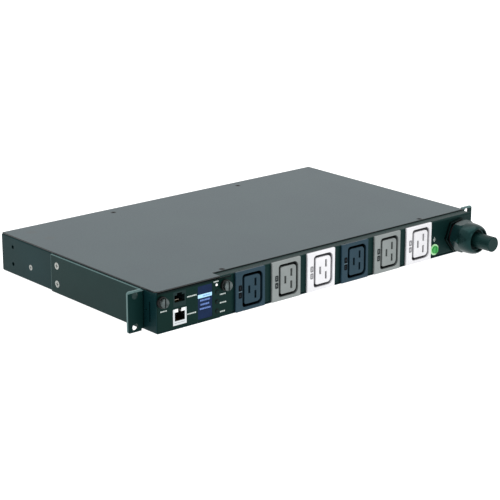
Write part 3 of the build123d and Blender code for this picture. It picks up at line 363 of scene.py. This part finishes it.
teal = "#78d0cc"        # the black coats mirror white with a cold green cast
finishes = {
    "casePaint": powderCoat("powderCoatedCase", "#061f21", "#0a2528", 0.45, 0.16, teal),
    # its last colour is the pale painted highlight of the brackets' edges
    "bracketPaint": bracketCoat("powderCoatedBracket", "#071d1c", "#0b2322", 0.44, 0.17, teal, "#5c7373"),
    # the lid has the case's own paint, drawn with a lighter colour and a stronger untinted sheen: painted
    # light of the bright top
    "litLidPaint": lidCoat("powderCoatedLidPaintedLight", "#1b333a", "#20383d", 0.40, 0.54, "#ffffff", "#020404", "#232e2e"),
    "panelPaint": powderCoat("powderCoatedPanel", "#071c1b", "#0a2120", 0.45, 0.2, teal),
    "faceplatePaint": screenedPlate("screenedPlate", "#061b17", "#081f1b", 0.45, 0.16, teal, "#020404"),
    "zinc": plating("zincPlate", "#8a8d8a", "#a9aca8", 0.32, 0.6),
    "blackScrew": plating("blackenedSteel", "#101617", "#1b2223", 0.45, 0.6),
    "galvanised": plating("galvanisedSheet", "#8f9595", "#a9aeae", 0.35, 6.0),
    "brass": plating("stampedBrass", "#a5813a", "#c09a50", 0.28, 0.6),
    "copper": plating("stampedCopper", "#a0643f", "#bf7f58", 0.3, 0.8),
    "nickelLeft": turnedPlating("turnedNickelLeft", "#3a4242", "#616a6a", 0.22, (-214.6, 31.7), 0.7, 0.06),
    "nickelRight": turnedPlating("turnedNickelRight", "#3a4242", "#616a6a", 0.22, (-135.7, 32.6), 0.7, 0.06),
    "contactGold": plating("contactGold", "#30240f", "#4a3818", 0.4, 0.6),
    "combTan": mouldedPlastic("combTan", "#7d7366", "#8d8274", 0.4),
    # the last colour of each outlet is the painted shade deep in its recess
    "outletBlue": outletNylon("slateBlueNylon", "#1c323d", "#1f3642", "#050b10", 0.3, "#b8dcf0"),
    "outletGrey": outletNylon("lightGreyNylon", "#7a8180", "#828988", "#343a3a", 0.4),
    "outletWhite": outletNylon("whiteNylon", "#dadadd", "#e2e2e5", "#77777c", 0.5),
    "ferruleBlack": mouldedPlastic("blackAcetal", "#050707", "#080a0a", 0.4, specular=0.25),
    "earthGreen": mouldedPlastic("greenEnamel", "#1f8a35", "#28a043", 0.3),
    "earthWasher": mouldedPlastic("paleGreenWasher", "#a8e0a8", "#bcecb8", 0.35),
    "glandNylon": mouldedPlastic("glandPolyamide", "#081a1a", "#0c2223", 0.22, 1.0, 0.012, 0.42, "#8ad2cf"),
    # the gland body is the nut's nylon drawn near black: painted shade of the neck and the gap behind the nut
    "glandBodyShadedNylon": mouldedPlastic("glandBodyPolyamidePaintedShade", "#020606", "#040a0a", 0.3, 1.0, 0.012, 0.2, teal),
    "gasketRubber": extrudedRubber("gasketRubber", "#12070b", "#1c0d12", 0.08),
    "sealRubber": extrudedRubber("sealNeoprene", "#040808", "#070d0d", 0.12, tint=teal),
    "cordRubber": extrudedRubber("cordJacket", "#081a19", "#0d2423", 0.26, 0.42, teal),
    "coreInsulation": mouldedPlastic("coreInsulation", "#3b2a22", "#4a3529"),
    "boardGreen": mouldedPlastic("greenLaminate", "#0c3a22", "#104a2b", 0.3),
    "componentDark": mouldedPlastic("darkComponents", "#121212", "#1c1c1c"),
    "connectorCream": mouldedPlastic("creamPolyester", "#cfc8b4", "#ddd6c2"),
    "jackBlack": mouldedPlastic("jackBlack", "#101819", "#172021", 0.4, specular=0.3, tint=teal),
    "linerBlack": mouldedPlastic("linerBlack", "#030404", "#060808", 0.5, specular=0.15),
    "jackWhite": mouldedPlastic("jackWhite", "#c6ccd0", "#d2d8da", 0.3),
    "lens": mouldedPlastic("milkyLens", "#f2f4f4", "#fbfcfc", 0.2),
    "displayNavy": displayFilm("navyDisplay", "#09162c", "#0d1c38", 0.08),
    "windowNavy": displayFilm("displayWindow", "#06182f", "#0a1f3d", 0.1),
    "buttonGrey": mouldedPlastic("darkButton", "#081716", "#0b1d1c", 0.4, specular=0.2, tint=teal),
    "whiteInk": screenInk("whiteInk", "#b9c4c1", "#d3dcd9"),
    "darkInk": screenInk("darkInk", "#020305", "#04070a", specular=0.04),
    "blueInk": screenInk("blueGreyInk", "#1a252c", "#222f38"),
    "paleInk": screenInk("paleBlueInk", "#66777f", "#76888f"),
    "slateInk": screenInk("slateInk", "#1b2122", "#242a2b", specular=0.06),
    "greyInk": screenInk("greyInk", "#7d7d80", "#88888b", specular=0.1),
    "paleBlue": screenInk("litBar", "#8fc0dc", "#a6d0e6", 0.3),
    "softBlue": screenInk("litMarks", "#5f7cbc", "#6d8bc9", 0.12),
    "lampWhite": screenInk("litLamp", "#f4faf4", "#ffffff", 0.3),
    "paper": studioPaper("studioPaper", "#7c7c7c", "#808080", 1.1),
}
nodeFinish = {
    "base_chassis": "casePaint", "front_panel": "panelPaint", "top_cover": "litLidPaint",
    "bay_wall": "galvanised", "rack_bracket_left": "bracketPaint", "rack_bracket_right": "bracketPaint",
    "bracket_screws": "zinc", "cover_screws": "blackScrew", "side_screw": "zinc",
    "outlet_contacts": "brass", "return_bars": "copper", "phase_bars": "copper",
    "control_faceplate": "faceplatePaint", "module_carrier": "galvanised", "module_board": "boardGreen",
    "sensor_jack": "jackBlack", "network_jack": "jackWhite", "network_jack_insert": "linerBlack",
    "jack_lights": "lens", "jack_contacts": "contactGold", "display_module": "displayNavy",
    "display_window": "windowNavy", "display_board": "boardGreen", "status_light": "lampWhite",
    "tact_switches": "componentDark", "thumbscrew_left": "nickelLeft", "thumbscrew_right": "nickelRight",
    "thumbscrew_ferrules": "ferruleBlack", "earth_screw": "earthGreen", "earth_washer": "earthWasher",
    "gland_body": "glandBodyShadedNylon", "gland_locknut": "glandNylon", "gland_dome_nut": "glandNylon",
    "gland_seal": "sealRubber", "input_cord": "cordRubber", "cord_cores": "coreInsulation",
    "terminal_block": "connectorCream", "terminal_screws": "zinc", "bar_leads": "coreInsulation",
    "current_transformers": "componentDark", "metering_board": "boardGreen", "supply_board": "boardGreen",
    "board_standoffs": "zinc", "board_screws": "zinc", "board_components": "componentDark",
    "module_plug": "connectorCream", "bay_socket": "connectorCream", "signal_cable": "componentDark",
    "scroll_button": "buttonGrey", "select_button": "buttonGrey", "menu_button": "buttonGrey",
    "outlet_1": "outletBlue", "outlet_2": "outletGrey", "outlet_3": "outletWhite", "outlet_4": "outletBlue",
    "outlet_5": "outletGrey", "outlet_6": "outletWhite", "blue_cores": "outletBlue",
    "grey_cores": "outletGrey", "white_cores": "outletWhite",
}


def dressNodes():
    for name, finish in nodeFinish.items():
        mesh = nodes[name].data
        mesh.materials.clear()
        mesh.materials.append(finishes[finish])


addCamera()
floor = addStudio()
floor.data.materials.append(finishes["paper"])
dressNodes()
print("studio and finishes ready")


# Modelling helpers, all sizes in millimetres

smoothAngle = 32        # in degrees, edges below it are shaded round
squareOn = 0.9          # a direction counts as along an axis when this share of it is
slack = 0.01            # allowed when places are compared
inkSink = 0.02          # how far printed strokes reach into the face that carries them
shortestStroke = 0.5


def pick(pieces):
    bpy.ops.object.select_all(action="DESELECT")
    for piece in pieces:
        piece.select_set(True)
    bpy.context.view_layer.objects.active = pieces[0]


def settle(piece, name):
    piece.name = name
    pick([piece])
    bpy.ops.object.transform_apply(location=True, rotation=True, scale=True)
    return piece


def startBlock(name, low, high):
    bpy.ops.object.select_all(action="DESELECT")
    middle = [(a + b) / 2 * millimetre for a, b in zip(low, high)]
    bpy.ops.mesh.primitive_cube_add(size=millimetre, location=middle)
    block = bpy.context.object
    block.scale = [b - a for a, b in zip(low, high)]
    return settle(block, name)


# a round bar along Y, its axis at x and z
def startRod(name, place, radius, front, back, sides, turn=0.0):
    bpy.ops.object.select_all(action="DESELECT")
    bpy.ops.mesh.primitive_cylinder_add(
        vertices=sides, radius=radius * millimetre, depth=(back - front) * millimetre,
        location=(place[0] * millimetre, (front + back) / 2 * millimetre, place[1] * millimetre),
        rotation=(math.pi / 2, math.radians(turn), 0))
    return settle(bpy.context.object, name)


def selectFaces(piece, test):
    pick([piece])
    bpy.ops.object.mode_set(mode="EDIT")
    bpy.ops.mesh.select_mode(type="FACE")
    bpy.ops.mesh.select_all(action="DESELECT")
    mesh = bmesh.from_edit_mesh(piece.data)
    for face in mesh.faces:
        face.select_set(test(face))
    bmesh.update_edit_mesh(piece.data)


def selectVertices(piece, test):
    pick([piece])
    bpy.ops.object.mode_set(mode="EDIT")
    bpy.ops.mesh.select_mode(type="VERT")
    bpy.ops.mesh.select_all(action="DESELECT")
    mesh = bmesh.from_edit_mesh(piece.data)
    for vertex in mesh.verts:
        vertex.select_set(test(vertex))
    mesh.select_flush_mode()
    bmesh.update_edit_mesh(piece.data)


def leaveEditing():
    bpy.ops.object.mode_set(mode="OBJECT")


def applyModifier(piece, kind, settings):
    pick([piece])
    modifier = piece.modifiers.new(kind.lower(), kind)
    for name, value in settings.items():
        setattr(modifier, name, value)
    bpy.ops.object.modifier_apply(modifier=modifier.name)


def roundEdges(piece, width, segments=2, angle=40):
    applyModifier(piece, "BEVEL", {"width": width * millimetre, "segments": segments,
                                   "limit_method": "ANGLE", "angle_limit": math.radians(angle)})


def cutAway(piece, cutter):
    applyModifier(piece, "BOOLEAN", {"operation": "DIFFERENCE", "object": cutter, "solver": "EXACT"})
    bpy.data.objects.remove(cutter)


def joinPieces(name, pieces):
    pick(pieces)
    if len(pieces) > 1:
        bpy.ops.object.join()
    pieces[0].name = name
    return pieces[0]


def finishPiece(piece, finish, body="case", replaced=()):
    pick([piece])
    bpy.ops.object.mode_set(mode="EDIT")
    bpy.ops.mesh.select_all(action="SELECT")
    bpy.ops.mesh.normals_make_consistent(inside=False)
    leaveEditing()
    bpy.ops.object.shade_smooth_by_angle(angle=math.radians(smoothAngle))
    applyModifier(piece, "WEIGHTED_NORMAL", {"keep_sharp": True})
    piece.data.materials.clear()
    piece.data.materials.append(finishes[finish])
    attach(piece, body)
    if replaced:
        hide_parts(*replaced)


# Thumbscrews: knurled and slotted nickel heads, on the shanks that the ferrules hold

thumbscrew = {
    "places": {"thumbscrew_left": (-214.6, 31.7), "thumbscrew_right": (-135.7, 32.6)},
    "radius": 5.0,
    "front": -27.0,
    "back": -23.8,
    "crown": 0.5,
    "knurls": 18,
    "knurlSides": 4,
    "knurlDepth": 0.35,
    "slot": 1.3,
    "slotDepth": 1.3,
    "edge": 0.12,
    "cutterReach": 1.0,
    "shank": ((2.6, -23.8, -19.1), (1.95, -19.1, -9.8)),       # radius, front and back of each step
    "shankEdge": 0.1,
    "shankSides": 32,
}


def knurlHead(head, place):
    size = thumbscrew
    centre = Vector((place[0] * millimetre, 0, place[1] * millimetre))
    step = 2 * math.pi / size["knurls"]

    def inGroove(vertex):
        turned = math.atan2(vertex.co.z - centre.z, vertex.co.x - centre.x) % step
        return min(turned, step - turned) < step / (2 * size["knurlSides"])

    selectVertices(head, inGroove)
    scale = 1 - size["knurlDepth"] / size["radius"]
    bpy.ops.transform.resize(value=(scale, 1, scale), center_override=centre)
    leaveEditing()
    front = (size["front"] + size["crown"] + slack) * millimetre
    selectFaces(head, lambda face: face.normal.y < -squareOn and face.calc_center_median().y < front)
    bpy.ops.mesh.extrude_region_move(TRANSFORM_OT_translate={"value": (0, -size["crown"] * millimetre, 0)})
    scale = 1 - size["crown"] / size["radius"]
    bpy.ops.transform.resize(value=(scale, 1, scale), center_override=centre)
    leaveEditing()


def makeThumbscrew(name, place):
    size = thumbscrew
    x, z = place
    front = size["front"] + size["crown"]
    head = startRod(name, place, size["radius"], front, size["back"], size["knurls"] * size["knurlSides"])
    knurlHead(head, place)
    reach = size["radius"] + size["cutterReach"]
    cutter = startBlock("slotCutter", (x - size["slot"] / 2, size["front"] - size["cutterReach"], z - reach),
                        (x + size["slot"] / 2, size["front"] + size["slotDepth"], z + reach))
    cutAway(head, cutter)
    roundEdges(head, size["edge"])
    shank = [startRod(name + "Shank", place, radius, front, back, size["shankSides"])
             for radius, front, back in size["shank"]]
    for rod in shank:
        roundEdges(rod, size["shankEdge"])
    joinPieces(name.replace("thumbscrew_", "thumbHead_"), [head] + shank)
    finishPiece(head, nodeFinish[name], name, (name,))


for name, place in thumbscrew["places"].items():
    makeThumbscrew(name, place)
print("thumbscrews ready")


# Marks printed on the module's plate: plain strokes where the real one has words

plateMarks = {
    "face": -20.0,
    "ink": 0.05,
    "height": 1.3,
    "strokes": (1.5, 0.9, 1.2, 0.8, 1.3, 1.0, 0.9, 1.4),
    "gap": 0.45,
    "rows": (          # left end, right end, height of the middle
        (-215.7, -207.7, 21.6), (-183.0, -171.4, 30.0), (-183.0, -171.8, 12.3),
        (-142.0, -134.2, 23.7), (-142.0, -133.8, 15.0), (-142.0, -135.0, 5.8), (-149.7, -142.9, 38.1),
    ),
}
earthSymbol = {
    "place": (163.5, 21.1),
    "face": -19.0,
    "ink": 0.05,
    "line": 0.45,
    "bars": ((4.2, 0.2), (2.8, -1.0), (1.4, -2.2)),        # width of each, and how far above the middle
    "stem": (0.2, 2.6),
}


def inkStroke(low, high, corner=0.15):
    stroke = startBlock("stroke", low, high)
    width, depth, height = [b - a for a, b in zip(low, high)]
    roundEdges(stroke, min(corner, height / 3, width / 3, depth / 2.5), segments=1, angle=60)
    return stroke


def printRow(marks, left, right, middle, first):
    strokes = []
    x, turn = left, first
    while x < right - shortestStroke:
        width = min(marks["strokes"][turn % len(marks["strokes"])], right - x)
        strokes.append(inkStroke((x, marks["face"] - marks["ink"], middle - marks["height"] / 2),
                                 (x + width, marks["face"] + inkSink, middle + marks["height"] / 2)))
        x += width + marks["gap"]
        turn += 1
    return strokes


def makePlateMarks():
    strokes = []
    for first, (left, right, middle) in enumerate(plateMarks["rows"]):
        strokes += printRow(plateMarks, left, right, middle, first)
    finishPiece(joinPieces("plateMarks", strokes), "whiteInk")


def makeEarthSymbol():
    sign = earthSymbol
    x, z = sign["place"]
    front, back, half = sign["face"] - sign["ink"], sign["face"] + inkSink, sign["line"] / 2
    strokes = [inkStroke((x - width / 2, front, z + rise - half), (x + width / 2, back, z + rise + half))
               for width, rise in sign["bars"]]
    low, high = sign["stem"]
    strokes.append(inkStroke((x - half, front, z + low), (x + half, back, z + high)))
    finishPiece(joinPieces("earthSymbol", strokes), "whiteInk")


makePlateMarks()
makeEarthSymbol()
print("plate marks ready")


# Outlet labels: two dark cells with a fine line between them, left of each recess, the upper with the number

outletLabel = {
    "first": -103.6,
    "pitch": 48.1,
    "count": 6,
    "face": -21.8,
    "ink": 0.05,
    "left": -15.7,
    "right": -11.4,
    "cells": ((22.0, 28.3), (14.5, 20.8)),      # lower and upper edge of each
    "corner": 1.1,
    "line": (21.4, 0.22),       # height of its middle, and half its thickness
    "lineOverrun": 0.2,
    "numberSize": 4.2,
    "bars": (0.35, 0.6),        # heights of two strokes in the lower cell, as shares of the cell's own
    "barInset": 1.2,
    "barHalf": 0.25,
    "inks": (("darkInk", "blueInk", "paleInk"), ("slateInk", "outletGrey", "outletGrey"),
             ("greyInk", "outletWhite", "outletWhite")),      # cells, number and line
    "slots": ("outlet_blue", "outlet_grey", "outlet_white"),
}


def labelCell(x, low, high):
    size = outletLabel
    cell = startBlock("cell", (x + size["left"], size["face"] - size["ink"], low),
                      (x + size["right"], size["face"] + inkSink, high))
    pick([cell])
    bpy.ops.object.mode_set(mode="EDIT")
    bpy.ops.mesh.select_mode(type="EDGE")
    bpy.ops.mesh.select_all(action="DESELECT")
    mesh = bmesh.from_edit_mesh(cell.data)
    for edge in mesh.edges:
        direction = edge.verts[0].co - edge.verts[1].co
        edge.select_set(abs(direction.y) > squareOn * direction.length)
    bmesh.update_edit_mesh(cell.data)
    bpy.ops.mesh.bevel(offset=size["corner"] * millimetre, segments=3, affect="EDGES")
    leaveEditing()
    return cell


def labelNumber(x, number):
    size = outletLabel
    low, high = size["cells"][0]
    bpy.ops.object.select_all(action="DESELECT")
    middle = (x + (size["left"] + size["right"]) / 2, size["face"] - size["ink"], (low + high) / 2)
    bpy.ops.object.text_add(location=[value * millimetre for value in middle], rotation=(math.pi / 2, 0, 0))
    text = bpy.context.object
    text.data.body = str(number)
    text.data.size = size["numberSize"] * millimetre
    text.data.extrude = inkSink * millimetre
    text.data.align_x = "CENTER"
    text.data.align_y = "CENTER"
    bpy.ops.object.convert(target="MESH")
    return settle(bpy.context.object, "number")


def makeOutletLabels():
    size = outletLabel
    front = size["face"] - size["ink"]
    for i in range(size["count"]):
        x = size["first"] + size["pitch"] * i
        dark, light, fine = size["inks"][i % 3]
        cells = [labelCell(x, low, high) for low, high in size["cells"]]
        finishPiece(joinPieces("outletCells_" + str(i + 1), cells), dark)
        middle, half = size["line"]
        low, high = size["cells"][1]
        left, right = x + size["left"] - size["lineOverrun"], x + size["right"] + size["lineOverrun"]
        line = inkStroke((left, front, middle - half), (right, size["face"] + inkSink, middle + half))
        line.name = "outletLine_" + str(i + 1)
        finishPiece(line, fine)
        marks = [labelNumber(x, i + 1)]
        left, right = x + size["left"] + size["barInset"], x + size["right"] - size["barInset"]
        for rise in size["bars"]:
            z = low + (high - low) * rise
            marks.append(inkStroke((left, front - inkSink, z - size["barHalf"]),
                                   (right, front + inkSink / 2, z + size["barHalf"])))
        finishPiece(joinPieces("outletNumber_" + str(i + 1), marks), light)


makeOutletLabels()
print("outlet labels ready")


# Display picture: a lit bar across the field with marks on it, and rows of small marks below it

displayPicture = {
    "face": -19.8,
    "proud": 0.04,
    "left": -169.5,
    "right": -151.9,
    "bar": (25.1, 28.8),        # its lower and upper edge
    "rows": (22.5, 18.2, 13.9),
    "rowEnds": ((-166.6, -154.6), (-166.2, -155.6), (-167.2, -154.0)),
    "barMarks": (-163.2, -154.4, 26.9),     # left end, right end, height of the middle
    "strokes": (1.3, 0.8, 1.0, 0.8, 1.1, 0.8, 0.9),
    "height": 1.7,
    "barMarkHeight": 1.2,
    "gap": 0.42,
    "corner": 0.2,
}


def makeDisplayPicture():
    size = displayPicture
    front = size["face"] - size["proud"]
    low, high = size["bar"]
    bar = inkStroke((size["left"], front, low), (size["right"], size["face"] + inkSink, high), size["corner"])
    finishPiece(bar, "paleBlue")
    bar.name = "litBar"
    rowInk = dict(size, ink=size["proud"])
    strokes = []
    for first, (middle, (left, right)) in enumerate(zip(size["rows"], size["rowEnds"])):
        strokes += printRow(rowInk, left, right, middle, first * 2)
    left, right, middle = size["barMarks"]
    barInk = dict(rowInk, face=front, height=size["barMarkHeight"])
    strokes += printRow(barInk, left, right, middle, 1)
    finishPiece(joinPieces("displayMarks", strokes), "softBlue")


makeDisplayPicture()
print("display picture ready")


# Gland dome nut: a hexagon at its rear with chamfered corners, and a turned dome with a rounded lip

domeNut = {
    "place": (198.0, 21.0),
    "cornerRadius": 18.3,
    "turn": 24.0,       # brings one corner 6 degrees above level
    "back": -24.6,
    "rear": (           # radius and distance from the back, round the profile that the hexagon cuts
        (13.3, 0.6), (15.8, 0.6), (18.5, 2.2), (18.5, 10.0), (16.2, 12.6), (13.3, 12.6)),
    "dome": (           # the same for the dome, from the neck's bore round to the lip's inner edge
        (13.3, 12.0), (16.4, 12.0), (17.0, 12.5), (17.1, 14.6), (17.0, 17.5), (16.8, 20.5), (16.4, 23.2),
        (15.7, 25.6), (14.8, 27.3), (13.9, 28.2), (13.3, 28.4), (12.8, 28.1), (12.5, 27.2), (12.4, 24.6),
        (11.3, 24.1), (13.3, 24.0)),
    "steps": 96,
    "edge": 0.3,
    "edgeAngle": 25,
    "cutter": (20.0, 5.0),      # how far the cutting hexagon reaches in front of the nut's back and behind it
}


def turnProfile(name, profile, size):
    centre = Vector((size["place"][0] * millimetre, 0, size["place"][1] * millimetre))
    bpy.ops.object.select_all(action="DESELECT")
    bpy.ops.mesh.primitive_circle_add(vertices=len(profile), radius=0.01)
    turned = bpy.context.object
    for vertex, (radius, run) in zip(turned.data.vertices, profile):
        vertex.co = centre + Vector((radius, size["back"] - run, 0)) * millimetre
    pick([turned])
    bpy.ops.object.mode_set(mode="EDIT")
    bpy.ops.mesh.select_all(action="SELECT")
    bpy.ops.mesh.spin(steps=size["steps"], angle=2 * math.pi, center=centre, axis=(0, 1, 0))
    bpy.ops.mesh.select_all(action="SELECT")
    bpy.ops.mesh.remove_doubles(threshold=0.00001)
    bpy.ops.mesh.normals_make_consistent(inside=False)
    leaveEditing()
    return settle(turned, name)


def makeDomeNut():
    size = domeNut
    rear = turnProfile("glandNut", size["rear"], size)
    ahead, behind = size["cutter"]
    hexagon = startRod("hexagonFlats", size["place"], size["cornerRadius"], size["back"] - ahead,
                       size["back"] + behind, 6, size["turn"])
    applyModifier(rear, "BOOLEAN", {"operation": "INTERSECT", "object": hexagon, "solver": "EXACT"})
    bpy.data.objects.remove(hexagon)
    roundEdges(rear, size["edge"], 2, size["edgeAngle"])
    dome = turnProfile("dome", size["dome"], size)
    nut = joinPieces("glandNut", [rear, dome])
    finishPiece(nut, "glandNylon", "case", ("gland_dome_nut",))


makeDomeNut()
print("dome nut ready")


# Gland gasket: a dark red ring in the gap between the hexagon flange and the nut

gasket = {
    "place": (198.0, 21.0),
    "middle": -23.6,
    "ringRadius": 14.3,
    "thickness": 1.3,
    "flatness": 0.7,
    "segments": (72, 14),       # round the ring, and round its section
}


def makeGasket():
    size = gasket
    around, across = size["segments"]
    bpy.ops.object.select_all(action="DESELECT")
    bpy.ops.mesh.primitive_torus_add(
        major_segments=around, minor_segments=across, major_radius=size["ringRadius"] * millimetre,
        minor_radius=size["thickness"] * millimetre,
        location=(size["place"][0] * millimetre, size["middle"] * millimetre, size["place"][1] * millimetre),
        rotation=(math.pi / 2, 0, 0))
    ring = bpy.context.object
    ring.scale = (1, 1, size["flatness"])
    settle(ring, "glandGasket")
    finishPiece(ring, "gasketRubber")


makeGasket()
print("gland gasket ready")


# Small fittings of the module: rings round the buttons, a seam in the white jack, a comb in the upper port

moduleFittings = {
    "face": -20.0,
    "buttons": ((-145.7, 27.1), (-145.7, 17.3), (-145.7, 7.5)),
    "ringRadius": 2.15,
    "ringThickness": 0.38,
    "ringFlatness": 0.5,
    "ringSegments": (40, 8),
    "seam": ((-198.6, 6.15), (-185.8, 6.55)),       # x and z of two corners
    "seamProud": 0.03,
    "seamCorner": 0.1,
    "comb": ((-198.6, -19.2, 29.7), (-192.8, -18.8, 30.25)),
    "combEdge": 0.12,
}


def makeModuleFittings():
    size = moduleFittings
    around, across = size["ringSegments"]
    rings = []
    for x, z in size["buttons"]:
        bpy.ops.object.select_all(action="DESELECT")
        bpy.ops.mesh.primitive_torus_add(
            major_segments=around, minor_segments=across, major_radius=size["ringRadius"] * millimetre,
            minor_radius=size["ringThickness"] * millimetre,
            location=(x * millimetre, size["face"] * millimetre, z * millimetre),
            rotation=(math.pi / 2, 0, 0))
        ring = bpy.context.object
        ring.scale = (1, 1, size["ringFlatness"])
        rings.append(settle(ring, "buttonRing"))
    finishPiece(joinPieces("buttonRings", rings), "linerBlack")
    (x0, z0), (x1, z1) = size["seam"]
    seam = inkStroke((x0, size["face"] - size["seamProud"], z0), (x1, size["face"] + inkSink, z1),
                     size["seamCorner"])
    seam.name = "jackSeam"
    finishPiece(seam, "greyInk")
    comb = startBlock("portComb", *size["comb"])
    roundEdges(comb, size["combEdge"])
    finishPiece(comb, "combTan")


makeModuleFittings()
print("module fittings ready")
